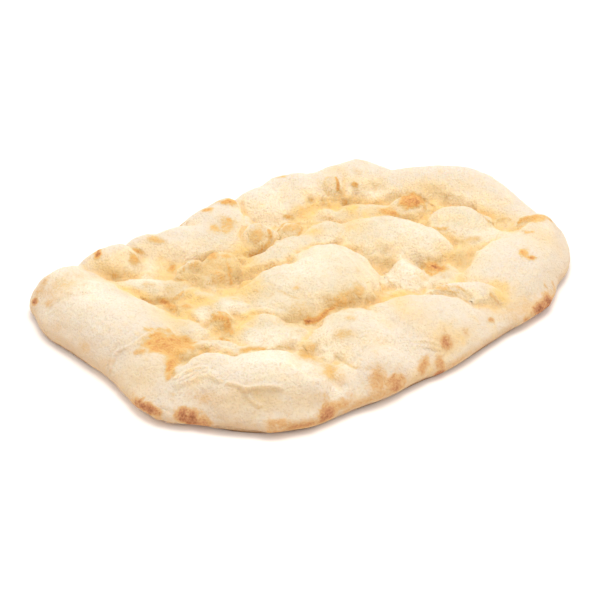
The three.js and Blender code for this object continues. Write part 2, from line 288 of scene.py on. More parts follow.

# Browned spots, a few of them painted shade, read off the photograph: name, pixel, half length and width
# as seen in millimetres, tilt in the picture in degrees, depth of bake
SPOTS = [
    ("corner edge", 35, 302, 2.2, 2.6, 0, 0.85),
    ("corner far edge", 40, 290, 7.5, 2.6, -58, 0.42),
    ("corner foot", 49, 304, 4, 2, 0, 0.4),
    ("left inner dark", 98, 254, 1.8, 2.4, 0, 1.0),
    ("left inner top", 138, 251, 3.6, 1.3, 22, 0.7),
    ("left inner side", 134, 260, 2.9, 4, 0, 0.55),
    ("left inner dot", 115, 276, 2.1, 2, 0, 0.55),
    ("left inner foot", 106, 273, 11, 4, 0, 0.14),
    ("far left lobe top", 157, 240, 5, 2, 8, 0.52),
    ("lens dot", 148, 284, 3.6, 1, 0, 0.3),
    ("lens end", 172, 289, 5.8, 4.6, 0, 0.26),
    ("lens hollow", 166, 303, 6, 2, 30, 0.66),
    ("mound left", 172, 268, 2.4, 2.4, 0, 0.66),
    ("left roll spot", 85, 347, 3.4, 2.9, 0, 0.33),
    ("left roll foot a", 57, 328, 5.4, 2.7, 0, 0.24),
    ("left roll foot b", 106, 361, 5.4, 1.9, 0, 0.22),
    ("saddle patch", 160, 343, 9.5, 5.2, 5, 0.66),
    ("saddle middle", 173, 348, 9, 6.5, 10, 0.62),
    ("saddle tip", 171, 366, 2.9, 6, 8, 0.7),
    ("saddle right", 187, 346, 4.1, 2.2, 10, 0.6),
    ("saddle left", 140, 352, 4.1, 1.5, -8, 0.55),
    ("near left edge a", 148, 408, 8.5, 3, 12, 0.88),
    ("near left edge b", 191, 419, 9, 4.6, 22, 0.84),
    ("near roll tan", 206, 399, 8.5, 3.9, 0, 0.32),
    ("valley bump top", 220, 318, 5, 3, 0, 0.6),
    ("far lobe scorch", 207, 210, 3.8, 1.3, -12, 0.7),
    ("small lobe scorch", 226, 202, 4.6, 1.5, -4, 0.68),
    ("far slope a", 214, 229, 3.6, 3.6, -45, 0.48),
    ("far slope b", 227, 225, 4.6, 4.8, 0, 0.44),
    ("far slope tip", 229, 220, 1.9, 1.5, 0, 0.58),
    ("far rim streak", 282, 177, 2.9, 0.7, -8, 0.42),
    ("bump a top", 257, 236, 6.4, 6.4, 0, 0.42),
    ("bump a foot", 254, 252, 5.2, 2.6, -12, 0.14),
    ("bump b top", 290, 229, 7, 4.4, -5, 0.46),
    ("bump b back", 289, 217, 3.2, 1.4, 0, 0.62),
    ("pit a", 311, 200, 2, 2.3, 0, 0.55),
    ("pit b", 323, 201, 1.9, 1.8, 0, 0.52),
    ("bubble", 328, 185, 5.2, 5.2, 0, 0.24),
    ("blister", 355, 185, 2.1, 1.7, 30, 0.62),
    ("trough pit", 345, 203, 2.6, 2.6, 0, 0.62),
    ("trough pit right", 357, 202, 4, 1.3, -5, 0.5),
    ("trough lens", 328, 218, 5.4, 1.2, 0, 0.35),
    ("peak streaks", 357, 172, 3.4, 2.1, 35, 0.25),
    ("peak tan", 377, 186, 5, 3.4, 0, 0.2),
    ("mound a", 194, 266, 4.2, 2, 5, 0.5),
    ("mound b", 211, 256, 5, 2.4, -8, 0.6),
    ("mound c", 218, 276, 5.5, 4, -10, 0.46),
    ("ridge dot", 338, 239, 1.8, 1, 0, 0.25),
    ("pillow dot", 297, 288, 2.5, 1.5, 0, 0.4),
    ("pillow spot", 358, 271, 1.5, 1.7, 0, 0.3),
    # Partly baked tan, partly painted shade on the centre pillow's steep near flank
    ("flank left", 301, 314, 11, 6.5, -4, 0.32),
    ("flank right", 343, 300, 11, 6, -18, 0.46),
    ("flank far right", 357, 291, 5.2, 3.8, -25, 0.4),
    ("dome hollow", 387, 265, 5.2, 6.1, 0, 0.15),
    ("big scorch", 411, 200, 7.6, 4.8, 5, 0.8),
    ("far rim tan a", 433, 188, 6, 3.7, 0, 0.24),
    ("far rim tan b", 444, 196, 4.9, 3, 0, 0.2),
    ("scorch foot", 388, 212, 6.4, 2.6, 12, 0.65),
    ("lobe spot a", 523, 252, 2.5, 2.5, 0, 0.6),
    ("lobe spot b", 532, 258, 3, 1, -5, 0.8),
    ("right edge scorch", 548, 305, 5.2, 7.4, 14, 0.88),
    ("dome foot", 435, 268, 5.8, 3.5, 25, 0.86),
    ("valley wall", 461, 262, 4.6, 5.6, 0, 0.36),
    ("fold spot a", 440, 288, 5.2, 1.3, 12, 0.48),
    ("fold spot b", 453, 292, 3.5, 0.9, 10, 0.48),
    ("fold end", 493, 297, 1.6, 3.9, 0, 0.12),
    ("front right dot", 491, 320, 2, 1.6, 0, 0.58),
    ("front olive a", 350, 318, 3, 1.4, 0, 0.36),
    ("front olive b", 344, 334, 4.9, 2.6, 0, 0.36),
    ("near rim a", 377, 380, 5, 8, 0, 0.55),
    ("near rim b", 396, 384, 6.3, 4.2, -28, 0.72),
    ("near rim c", 423, 368, 2.6, 4.6, 15, 0.6),
    ("near rim d", 440, 365, 2.6, 4.9, 0, 0.55),
    ("near rim e", 439, 373, 3.7, 1.6, -15, 0.95),
    ("orange spot", 446, 344, 3.6, 3.6, 0, 0.76),
    ("small orange", 466, 331, 1.6, 2.8, 0, 0.36),
    ("right front tan", 430, 342, 8, 4, 0, 0.08),
    # Painted shade: the near roll's end falling into the notch, and the front hollow
    ("near roll end a", 330, 373, 4, 5, 35, 0.5),
    ("near roll end b", 333, 375, 1.6, 3.5, -20, 0.36),
    ("front hollow", 310, 349, 3.5, 4.9, 0, 0.42),
    ("near edge dark", 327, 413, 4.8, 5.2, -15, 0.76),
    ("near edge orange", 340, 405, 6, 2.8, -15, 0.5),
    ("mound back", 225, 257, 3, 2, 0, 0.6),
    ("valley speck", 186, 306, 3, 1.2, 5, 0.6),
    ("pit c", 334, 201, 2.2, 1.3, 0, 0.5),
    ("near edge gold", 350, 396, 2.6, 1.4, 0, 0.32),
    ("near edge left", 278, 424, 5.5, 2.6, 0, 0.55),
    ("mound all", 212, 268, 15, 9, -5, 0.36),
    ("saddle upper", 171, 342, 13, 4, 8, 0.62),
    ("saddle lower", 175, 356, 5.5, 6, 20, 0.56),
    ("bump a foot right", 262, 249, 6, 2, -28, 0.2),
    ("corner tan", 60, 288, 13, 7, -25, 0.3),
    ("crescent", 535, 219, 8.5, 2.2, -3, 0.58),
    ("right edge tan", 522, 309, 12, 5, -20, 0.3),
    # Painted shade at the near roll's end
    ("near roll end tan", 308, 357, 6, 3, 30, 0.5),
    ("right edge foot", 539, 311, 5, 4, -25, 0.85),
    ("valley bump low", 226, 326, 3, 5, 0, 0.55),
]

# Browned spots on the sides that the photograph doesn't show: name, place, half length and height, depth
HIDDEN_SPOTS = [
    ("back edge a", (-112, 105, 7), 11, 5, 0.7),
    ("back edge b", (-70, 105, 5), 8, 4, 0.5),
    ("back edge c", (-38, 103, 8), 10, 5, 0.8),
    ("back edge d", (18, 106, 6), 9, 4.5, 0.6),
    ("back edge e", (52, 105, 9), 7, 5, 0.75),
    ("back corner", (108, 87, 7), 10, 5.5, 0.85),
    ("right edge a", (138, 51, 6), 9, 4.5, 0.6),
    ("right edge b", (157, 4, 8), 8, 5, 0.8),
]

# Browned lines, some of them painted shade at creases, feet and the lower edge, read off the photograph:
# name, depth of bake, half width, pixels along the line
STREAKS = [
    ("crescent", 0.62, 1.5, [(519, 223), (526, 218), (536, 216), (546, 217), (551, 221)]),
    ("corner creases", 0.65, 0.9, [(512, 231), (520, 229), (527, 233), (533, 232)]),
    ("right crease", 0.5, 1.0, [(478, 213), (488, 221), (493, 224), (499, 221), (506, 218), (511, 220)]),
    ("mid right crease", 0.55, 1.5, [(433, 228), (440, 229), (446, 228)]),
    ("mid right foot", 0.36, 2.0, [(454, 243), (465, 241), (478, 238)]),
    # Painted shade at the foot of the dome
    ("dome foot", 0.65, 1.4, [(421, 268), (428, 273), (432, 275), (440, 271)]),
    ("fold line", 0.4, 0.9, [(434, 285), (446, 286), (458, 287), (466, 292), (472, 297)]),
    ("fold end", 0.5, 1.2, [(491, 295), (496, 300), (500, 305)]),
    ("lens crease", 0.55, 1.2, [(160, 301), (170, 302), (177, 298), (183, 292)]),
    ("saddle top", 0.66, 0.9, [(150, 337), (156, 334), (165, 335), (176, 338)]),
    ("saddle corner", 0.7, 0.8, [(186, 342), (195, 343)]),
    ("mound swirl", 0.5, 0.9, [(208, 283), (217, 284), (225, 282)]),
    ("mound side", 0.62, 1.4, [(227, 264), (231, 272), (231, 284)]),
    ("mound pit", 0.62, 0.9, [(181, 273), (185, 268)]),
    ("mound foot", 0.55, 1.0, [(177, 279), (184, 281), (191, 284), (198, 286)]),
    ("bump a side", 0.66, 1.4, [(269, 231), (271, 238), (268, 245), (258, 252), (250, 255)]),
    ("bump b ring", 0.6, 1.1, [(279, 231), (283, 225), (291, 223), (299, 224), (302, 229), (299, 235)]),
    ("bubble side", 0.76, 1.1, [(336, 178), (338, 184), (337, 190)]),
    ("bubble foot", 0.55, 1.1, [(327, 193), (335, 195), (341, 193)]),
    ("bubble left", 0.34, 1.2, [(328, 177), (324, 183), (325, 190)]),
    # Painted shade at the foot of the terrace and in the crease under the centre pillow's flank
    ("terrace foot left", 0.5, 1.8, [(243, 351), (254, 349), (264, 350)]),
    ("terrace foot right", 0.34, 1.6, [(276, 347), (286, 346), (292, 349)]),
    ("flank crease", 0.85, 1.8, [(306, 322), (318, 320), (326, 313), (333, 308)]),
    ("pillow crease a", 0.5, 0.8, [(253, 290), (258, 292)]),
    ("pillow crease b", 0.36, 0.8, [(280, 291), (290, 296), (300, 299)]),
    ("valley bump top", 0.66, 1.2, [(213, 315), (220, 313), (228, 315)]),
    ("valley bump side", 0.7, 1.5, [(226, 318), (229, 326), (232, 333)]),
    ("valley bump foot", 0.7, 1.4, [(221, 339), (228, 341)]),
    ("skirt crease", 0.34, 1.0, [(336, 357), (342, 361), (354, 368), (368, 370)]),
    # Partly browned base, partly painted contact shade along the lower edge
    (
        "near left edge line", 0.55, 2.6,
        [(95, 372), (120, 390), (140, 407), (155, 415), (178, 424), (200, 430)],
    ),
    ("near edge line", 0.62, 2.4, [(270, 432), (290, 428), (310, 424), (325, 420)]),
    ("near rim line", 0.5, 2.2, [(345, 411), (365, 401), (385, 394), (400, 388)]),
    ("near right edge line", 0.42, 2.2, [(430, 378), (450, 366), (470, 353)]),
    ("right edge line", 0.8, 1.6, [(525, 319), (535, 316), (545, 309)]),
    # Painted shade at the near roll's end
    ("near roll end shade", 0.3, 4.5, [(305, 353), (318, 361), (330, 370), (341, 379)]),
]

# Golden patches, partly thin skin and partly painted warm shade in hollows and at feet, and pale ones below
# zero, partly flour and partly painted light on shaded slopes: name, pixel, half length and width as seen in
# millimetres, tilt in the picture in degrees, strength
TINTS = [
    ("left inner foot", 112, 274, 10, 4, 12, 0.9),
    ("lens foot", 133, 293, 10, 2.2, 10, 1.0),
    ("far lobe foot", 152, 268, 9, 5, 15, -0.45),
    ("mound hollow", 192, 279, 6, 3, 20, 0.8),
    ("mound top", 214, 262, 11, 7, 0, 0.8),
    ("mound side", 232, 275, 3.5, 7, 0, 0.9),
    ("mound valley", 250, 272, 8, 8, 0, 0.8),
    ("valley left", 186, 310, 7, 6, 20, 0.7),
    ("valley middle", 203, 301, 7, 3, 0, 1.0),
    ("valley right", 250, 315, 9, 4, 0, 0.5),
    ("far trough left", 297, 207, 9, 5, 0, 0.4),
    ("far trough right", 386, 214, 9, 4, 10, 1.0),
    ("far rim tint", 433, 191, 10, 5, 20, 0.5),
    ("far rim right tint", 468, 188, 12, 6, 20, 0.2),
    ("back ridge tint", 300, 252, 14, 4, -22, 0.35),
    ("dome tint", 385, 240, 8, 9, 0, 0.35),
    ("dome side", 440, 252, 8, 8, 0, 0.2),
    ("right valley", 447, 262, 14, 4, -8, 0.3),
    ("mid right tint", 463, 240, 10, 4, -10, 0.5),
    ("fold tint", 447, 285, 12, 3, 8, -0.3),
    ("fold valley", 405, 288, 10, 4, -20, 0.3),
    ("front pillow tint", 345, 334, 10, 5, 0, 0.45),
    ("front hollow tint", 308, 348, 5, 6, 0, 0.6),
    ("lobe tint", 540, 235, 12, 7, 30, 0.35),
    ("near right tint", 470, 325, 14, 8, -20, 0.1),
    ("terrace", 276, 350, 13, 5, 0, -0.2),
    ("valley hump", 231, 305, 6, 3, 10, -0.9),
    ("valley lump", 199, 313, 4, 3, 0, -1.0),
    ("saddle crest", 204, 335, 5, 2.5, 0, -0.6),
    ("lens top", 145, 282, 9, 3, 5, -0.9),
    ("centre top", 318, 268, 28, 12, -15, -0.3),
    ("small white pillow", 409, 268, 8, 6, 0, -0.5),
    ("front pillow top", 362, 312, 13, 6, 0, -0.35),
    ("far terrace", 315, 203, 14, 5, 0, 0.15),
    ("bubble foot", 347, 198, 9, 5, 0, 0.6),
    ("right front", 425, 320, 14, 8, 0, 0.45),
    ("far rim white", 266, 207, 13, 9, 0, -0.9),
    ("dome pale", 408, 232, 16, 8, 10, -0.8),
    ("front pillow left", 325, 335, 6, 9, 0, -0.7),
    ("valley yellow", 232, 290, 8, 4, -20, 0.6),
    ("dome near side", 400, 255, 20, 6, 5, -0.45),
    ("small pillow side", 398, 281, 11, 5, 0, -1),
    ("far rim inner", 345, 190, 24, 5, 3, -1.0),
    ("far left slope", 175, 248, 18, 5, 5, -0.8),
    ("far right inner", 452, 199, 15, 5, 12, -0.9),
    ("front pillow low left", 327, 346, 8, 6, 0, -1),
    ("near roll back", 206, 352, 9, 3, 0, 0.1),
    ("fold end side", 480, 298, 6, 4, 0, -0.1),
    ("back ridge white", 330, 238, 10, 4, 0, -0.6),
    ("left inner gold", 108, 262, 15, 9, 0, 0.3),
    ("mid ridge gold", 352, 226, 9, 8, 0, 0.6),
    ("far trough gold", 314, 232, 7, 3, 0, 1.0),
    ("far right gold", 425, 193, 18, 6, 0, 0.5),
    ("mound left gold", 183, 274, 9, 5, 20, 0.5),
    ("mound right gold", 230, 272, 5, 8, 0, 0.5),
    ("valley left gold", 172, 318, 12, 4, 15, 0.6),
    ("valley bump gold", 225, 325, 10, 8, 0, 1.0),
    ("near roll gold", 260, 398, 28, 7, 0, 0.35),
    ("fold end gold", 505, 298, 9, 6, 20, 0.6),
    ("near right gold", 450, 345, 12, 6, -30, 0.35),
    ("right edge gold", 538, 312, 8, 6, 0, 0.8),
    ("bubble gold", 336, 184, 8, 8, 0, 0.4),
    ("corner pale", 78, 282, 18, 8, 15, -0.75),
    ("far slope pale", 272, 217, 7, 6, 0, -1.0),
    ("centre pale", 300, 262, 14, 10, -30, -0.55),
    ("mid right pale", 475, 232, 20, 5, -10, -0.55),
    ("mid valley pale", 400, 283, 16, 5, 0, -0.4),
    ("terrace pale", 265, 338, 22, 5, 0, -0.9),
    ("near roll end pale", 336, 388, 5, 9, 0, -0.8),
    ("left roll pale", 100, 300, 28, 10, 20, -0.4),
    ("ridge pale", 337, 233, 6, 4, 0, -0.3),
    ("near roll top pale", 275, 362, 26, 7, 8, -0.8),
    ("right front pale", 385, 340, 14, 9, 0, -0.4),
    ("mid right foot pale", 480, 250, 7, 4, 0, -0.5),
    ("fold end gold b", 497, 297, 6, 9, 20, 0.45),
    ("centre right gold", 400, 302, 5, 8, 0, 0.5),
    ("valley bump right", 237, 332, 6, 6, 0, 0.6),
    ("near left gold", 143, 378, 12, 14, 0, 0.25),
    ("orange spot gold", 446, 344, 8, 6, 0, 0.5),
    ("near rim gold", 425, 372, 12, 5, -25, 0.5),
    ("near edge warm", 350, 402, 8, 8, 0, 0.35),
    ("peak pale", 335, 168, 10, 4, 0, 0.15),
    ("peak foot pale", 378, 195, 8, 4, 0, -0.4),
    ("terrace foot gold", 253, 350, 8, 3, 0, 0.7),
    ("dome foot pale", 368, 256, 8, 6, 0, -0.4),
    ("right front far pale", 445, 318, 14, 6, -10, -0.3),
    ("dome foot right pale", 418, 258, 7, 4, 0, -0.4),
    ("pillow foot pale", 268, 312, 6, 3.5, 0, -0.7),
    ("near roll left pale", 185, 395, 10, 9, 0, -0.5),
    ("trough right gold", 352, 210, 6, 7, 0, 0.7),
    ("pillow left gold", 255, 289, 8, 5, 0, 0.6),
    ("valley low pale", 203, 324, 6, 5, 0, -0.8),
    ("left inner right pale", 138, 270, 6, 5, 0, -0.5),
    ("valley hump foot pale", 233, 311, 6, 3, 0, -0.9),
    ("near rim pale", 424, 356, 7, 4, 0, -0.6),
    ("far lobe foot pale", 187, 225, 6, 5, 0, -0.5),
    ("far left foot pale", 190, 256, 8, 5, 0, -0.6),
    ("fold side pale", 481, 299, 6, 4, 0, -0.4),
]

# Colours of the crust, as shares of the light it sends back; some of them are painted light and shade
CREAM = (0.635, 0.54, 0.385)
FLOURED = (0.65, 0.558, 0.448)
# Pale colour: partly flour dusting, partly painted light that brightens shaded slopes and feet
FLOUR_AND_PAINTED_LIGHT = (0.76, 0.67, 0.53)
# Painted light: the bright warm colour laid over shaded inner slopes and hollows
PAINTED_LIGHT = (0.84, 0.69, 0.45)
# Tan: partly baked tan, partly painted shade on steep outer flanks and low sides; also the grain's speckle
TAN = (0.575, 0.405, 0.25)
# Golden crust, and painted warm shade where it fills hollows
GOLD = (0.735, 0.50, 0.185)
# Painted shade: the warm colour laid in small creases, where shade falls
PAINTED_CREASE_SHADE = (0.77, 0.51, 0.22)
# Browned underside; on the lower foot it partly paints the contact shade
UNDERSIDE = (0.36, 0.19, 0.085)

# Colours of the browned crust by depth of bake, inside and near the edge
BAKED = [
    (0.0, (0.63, 0.485, 0.31)),
    (0.30, (0.62, 0.44, 0.22)),
    (0.55, (0.65, 0.375, 0.12)),
    (0.75, (0.58, 0.27, 0.085)),
    (1.0, (0.36, 0.135, 0.045)),
]
BAKED_EDGE = [
    (0.0, (0.61, 0.48, 0.34)),
    (0.30, (0.61, 0.42, 0.24)),
    (0.55, (0.57, 0.33, 0.14)),
    (0.75, (0.47, 0.21, 0.09)),
    (1.0, (0.30, 0.11, 0.045)),
]

# Least and greatest share of a shade in the clouds that it comes and goes with
PATCHES = {
    "flour": (0.3, 1.5),
    "flank": (0.5, 1.4),
    "pale": (0.5, 1.4),
    "hollow": (0.4, 1.7),
    "crease": (0.3, 1.3),
}

# Grain of the crust: lengths of its noise and height of its bump, in millimetres, and strengths
GRAIN = 1.2
PORES = 2.4
MOTTLE = 4.0
CLOUD = 18.0
DETAIL = 2
MOTTLE_DETAIL = 3
NOISE_MIDDLE = 0.5
GRAIN_HEIGHT = 0.75
GOLD_BLOTCHES = 0.8
TAN_STIPPLE = 2.2
BAKE_COVER = 2.5

# Sockets of a mix node that are colours
FIRST_COLOUR = 6
SECOND_COLOUR = 7
MIXED_COLOUR = 2

# How the crust takes light
SCATTER = 0.6
SCATTER_RADII = (1.0, 0.7, 0.4)
SCATTER_DEPTH = 2.2
CRUST_ROUGHNESS = 0.8
CRUST_SHEEN = 0.25

# Floor and studio light, in metres and watts
FLOOR_SIZE = 6.0
FLOOR_COLOUR = (0.93, 0.865, 0.81, 1)
FLOOR_ROUGHNESS = 0.9
SKY_COLOUR = (1, 1, 1, 1)
SKY_STRENGTH = 1.18
KEY_POWER = 4.2
KEY_SIZE = 0.5
KEY_SIDE = 0.05
KEY_BEHIND = 0.05
KEY_HEIGHT = 0.95

# Camera, in millimetres and degrees, and its focal length in picture widths
CAMERA_AIM = (-22.3, 1.0, 0.0)
CAMERA_TURN = -42.0
CAMERA_RISE = 32.0
CAMERA_DISTANCE = 790.0
PICTURE = 600
FOCAL_WIDTHS = 1355 / PICTURE
SENSOR = 36.0

# Fineness of the outline: steps on each stretch of its curve, and points for measuring insets
CURVE_STEPS = 60
INSET_POINTS = 268


def outline_ring(count):
    """Evenly spaced points on the closed curve through the outline's points."""
    points = np.array(OUTLINE, float)
    before, after, beyond = (np.roll(points, shift, 0) for shift in (1, -1, -2))
    leave = (after - before) / 2
    arrive = (beyond - points) / 2
    steps = np.linspace(0, 1, CURVE_STEPS, endpoint=False)[None, :, None]
    start, end, leave, arrive = (a[:, None, :] for a in (points, after, leave, arrive))
    cubic = 2 * start - 2 * end + leave + arrive
    square = 3 * end - 3 * start - 2 * leave - arrive
    curve = (cubic * steps**3 + square * steps**2 + leave * steps + start).reshape(-1, 2)
    curve = np.vstack([curve, curve[:1]])
    length = np.concatenate([[0], np.cumsum(np.linalg.norm(np.diff(curve, axis=0), axis=1))])
    places = np.linspace(0, length[-1], count, endpoint=False)
    return np.stack([np.interp(places, length, curve[:, k]) for k in (0, 1)], 1)


def inset(x, y):
    """How far points lie inside the outline."""
    ring = outline_ring(INSET_POINTS)
    nearest = np.full(x.shape, np.inf)
    for (ax, ay), (bx, by) in zip(ring, np.roll(ring, -1, 0)):
        share = ((x - ax) * (bx - ax) + (y - ay) * (by - ay)) / ((bx - ax) ** 2 + (by - ay) ** 2)
        share = np.clip(share, 0, 1)
        gap = (x - ax - share * (bx - ax)) ** 2 + (y - ay - share * (by - ay)) ** 2
        nearest = np.minimum(nearest, gap)
    return np.sqrt(nearest)


def noise_layer(points, length, offset):
    """Noise between about -1 and 1 at the points."""
    places = (points / length + offset).tolist()
    return np.array([noise.noise(place) for place in places])


def wave(x, y, length, phase):
    """A slow wave over the plan, between -1 and 1."""
    sines = (np.sin(a * x / length + b * y / length + c * phase) for a, b, c in WAVES)
    return sum(sines) / len(WAVES)


def soft_max(a, b):
    """The higher of two heights, with the crease between them rounded."""
    overlap = np.maximum(BLEND - np.abs(a - b), 0) / BLEND
    return np.maximum(a, b) + overlap**2 * BLEND / 4


def plan_reach(x, y, centre_x, centre_y, half_length, half_width, turn):
    """Distance from an ellipse's centre, as a share of its radius that way."""
    angle = math.radians(turn)
    dx, dy = x - centre_x, y - centre_y
    along = (dx * math.cos(angle) + dy * math.sin(angle)) / half_length
    across = (dy * math.cos(angle) - dx * math.sin(angle)) / half_width
    return np.hypot(along, across)


def skin_height(x, y, depth):
    """Height of the top skin, from the rim and the pillows."""
    plan = np.column_stack([x.ravel(), y.ravel(), np.zeros(x.size)])
    fine = [noise_layer(plan, FINE_SWAY_LENGTH, offset).reshape(x.shape) for offset in FINE_SWAY_OFFSETS]
    swayed_x = x + SWAY * wave(x, y, SWAY_LENGTH, SWAY_PHASES[0]) + FINE_SWAY * fine[0]
    swayed_y = y + SWAY * wave(x, y, SWAY_LENGTH, SWAY_PHASES[1]) + FINE_SWAY * fine[1]
    fall = np.clip((depth - RIM_FLAT) / RIM_FALL, 0, 1)
    height = THIN + (RIM - THIN) * (1 + np.cos(np.pi * fall)) / 2
    for _, *ellipse, top, fullness in PILLOWS:
        reach = np.minimum(plan_reach(swayed_x, swayed_y, *ellipse), PILLOW_REACH)
        height = soft_max(height, THIN + (top - THIN) * (1 - reach**fullness))
    height = height + RIPPLE * wave(x, y, RIPPLE_LENGTH, RIPPLE_PHASE)
    climb = np.minimum(depth / SHOULDER, 1)
    shoulder = (1 - (1 - climb) ** ROUNDNESS) ** (1 / ROUNDNESS)
    return WAIST + (height - WAIST) * shoulder


def skin_grid():
    """Points of the top skin: a rectangular grid stretched out to the outline."""
    cells_x, cells_y = 2 * HALF_CELLS_X, 2 * HALF_CELLS_Y
    ring = outline_ring(2 * (cells_x + cells_y))
    i, j = np.meshgrid(np.arange(cells_x + 1), np.arange(cells_y + 1), indexing="ij")
    u, v = i / HALF_CELLS_X - 1, j / HALF_CELLS_Y - 1
    reach = np.maximum(np.abs(u), np.abs(v))
    safe = np.where(reach > 0, reach, 1)
    edge_u, edge_v = u / safe, v / safe
    steep = np.abs(v) >= np.abs(u)
    place = np.select(
        [steep & (v > 0), steep, u > 0],
        [
            (edge_u + 1) * HALF_CELLS_X,
            cells_x + cells_y + (1 - edge_u) * HALF_CELLS_X,
            cells_x + (1 - edge_v) * HALF_CELLS_Y,
        ],
        2 * cells_x + cells_y + (edge_v + 1) * HALF_CELLS_Y,
    ) % len(ring)
    before = np.floor(place).astype(int) % len(ring)
    part = (place - np.floor(place))[..., None]
    edge = ring[before] * (1 - part) + ring[(before + 1) % len(ring)] * part
    share = reach * (1 + EDGE_CROWDING - EDGE_CROWDING * reach**4)
    x, y = edge[..., 0] * share, edge[..., 1] * share
    depth = np.where(reach < 1, inset(x, y), 0)
    return np.stack([x, y, skin_height(x, y, depth)], -1), ring


def edge_loop():
    """Indices of the grid's edge points, in the ring's order."""
    cells_x, cells_y = 2 * HALF_CELLS_X, 2 * HALF_CELLS_Y
    index = np.arange((cells_x + 1) * (cells_y + 1)).reshape(cells_x + 1, cells_y + 1)
    sides = [index[:-1, -1], index[-1, :0:-1], index[:0:-1, 0], index[0, :-1]]
    return np.concatenate(sides)


def under_rows(ring):
    """Rows of points from the waist round the uneven foot and across the flat underside."""
    tangent = np.roll(ring, -1, 0) - np.roll(ring, 1, 0)
    outward = np.stack([-tangent[:, 1], tangent[:, 0]], 1)
    outward /= np.linalg.norm(outward, axis=1)[:, None]

    along = np.column_stack([ring, np.zeros(len(ring))])
    base = BASE * (1 + BASE_UNEVENNESS * noise_layer(along, BASE_LENGTH, BASE_OFFSET))
    lip = LIP * np.maximum(noise_layer(along, LIP_LENGTH, LIP_OFFSET) + LIP_SPREAD, 0)
    rows = []
    for row in range(1, EDGE_ROWS - 1):
        turn = math.pi / 2 * row / (EDGE_ROWS - 2)
        inward = TUCK / 2 * (1 - math.cos(turn)) + lip * math.sin(2 * turn) ** LIP_SHARPNESS
        plan = ring - inward[:, None] * outward
        rows.append(np.column_stack([plan, base + (WAIST - base) * (1 - math.sin(turn))]))
    for share in BASE_SHARES:
        inward = TUCK / 2 + BASE_STEP * (2 - share)
        rows.append(np.column_stack([ring - inward * outward, share * base]))
    foot = rows[-1][:, :2]
    for step in range(1, UNDER_RINGS):
        share = 1 - step / UNDER_RINGS
        rows.append(np.column_stack([foot * share, np.zeros(len(ring))]))
    return rows


def bread_mesh():
    """Points and four-sided faces of the whole bread, open only inside its last ring underneath."""
    grid, ring = skin_grid()
    points = [grid.reshape(-1, 3)]
    columns = grid.shape[1]
    corner = (np.arange(grid.shape[0] - 1)[:, None] * columns + np.arange(columns - 1)).ravel()
    faces = [np.stack([corner, corner + columns, corner + columns + 1, corner + 1], 1)]

    upper = edge_loop()
    count = len(points[0])
    for row in under_rows(ring):
        lower = np.arange(count, count + len(ring))
        faces.append(np.stack([upper, np.roll(upper, -1), np.roll(lower, -1), lower], 1))
        points.append(row)
        count += len(ring)
        upper = lower
    return np.concatenate(points), np.concatenate(faces), upper


def smooth_step(values):
    """A soft rise from 0 to 1."""
    share = np.clip(values, 0, 1)
    return share * share * (3 - 2 * share)


def point_normals(points, faces):
    """Outward normals of the bread at its points."""
    corners = points[faces]
    face_normals = np.cross(corners[:, 1] - corners[:, 3], corners[:, 2] - corners[:, 0])
    normals = np.zeros_like(points)
    for corner in range(4):
        np.add.at(normals, faces[:, corner], face_normals)
    return normals / np.maximum(np.linalg.norm(normals, axis=1), 1e-9)[:, None]


class Photograph:
    """Finds the point of the bread that is seen at a pixel of the photograph."""

    def __init__(self, points, faces):
        self.tree = BVHTree.FromPolygons(points.tolist(), faces.tolist())
        self.right, self.up, self.back = camera_axes()
        self.eye = Vector(CAMERA_AIM) + CAMERA_DISTANCE * self.back

    def point(self, pixel_x, pixel_y):
        """The place on the bread under a pixel, or the nearest one for a pixel just beside it."""
        across = (pixel_x - PICTURE / 2) / PICTURE / FOCAL_WIDTHS
        down = (pixel_y - PICTURE / 2) / PICTURE / FOCAL_WIDTHS
        ray = across * self.right - down * self.up - self.back
        hit = self.tree.ray_cast(self.eye, ray.normalized())[0]
        if hit is None:
            level = self.eye + ray * (self.eye.z / -ray.z)
            hit = self.tree.find_nearest(level)[0]
        return np.array(hit)

    def seen_reach(self, points, spot):
        """Distance of the points from a spot's middle, as a share of its half size that way."""
        _, pixel_x, pixel_y, half_length, half_width, tilt, _ = spot
        offset = points - self.point(pixel_x, pixel_y)
        angle = math.radians(tilt)
        along_axis = math.cos(angle) * np.array(self.right) - math.sin(angle) * np.array(self.up)
        across_axis = math.sin(angle) * np.array(self.right) + math.cos(angle) * np.array(self.up)
        along = offset @ along_axis / half_length
        across = offset @ across_axis / half_width
        deep = offset @ np.array(self.back) / (SPOT_DEPTH_REACH * max(half_length, half_width))
        return np.sqrt(along**2 + across**2 + deep**2)


def line_gap(points, line):
    """Distance of the points from a line through several places."""
    nearest = np.full(len(points), np.inf)
    for start, end in zip(line[:-1], line[1:]):
        run = end - start
        share = np.clip((points - start) @ run / (run @ run), 0, 1)
        gap = np.linalg.norm(points - start - share[:, None] * run, axis=1)
        nearest = np.minimum(nearest, gap)
    return nearest


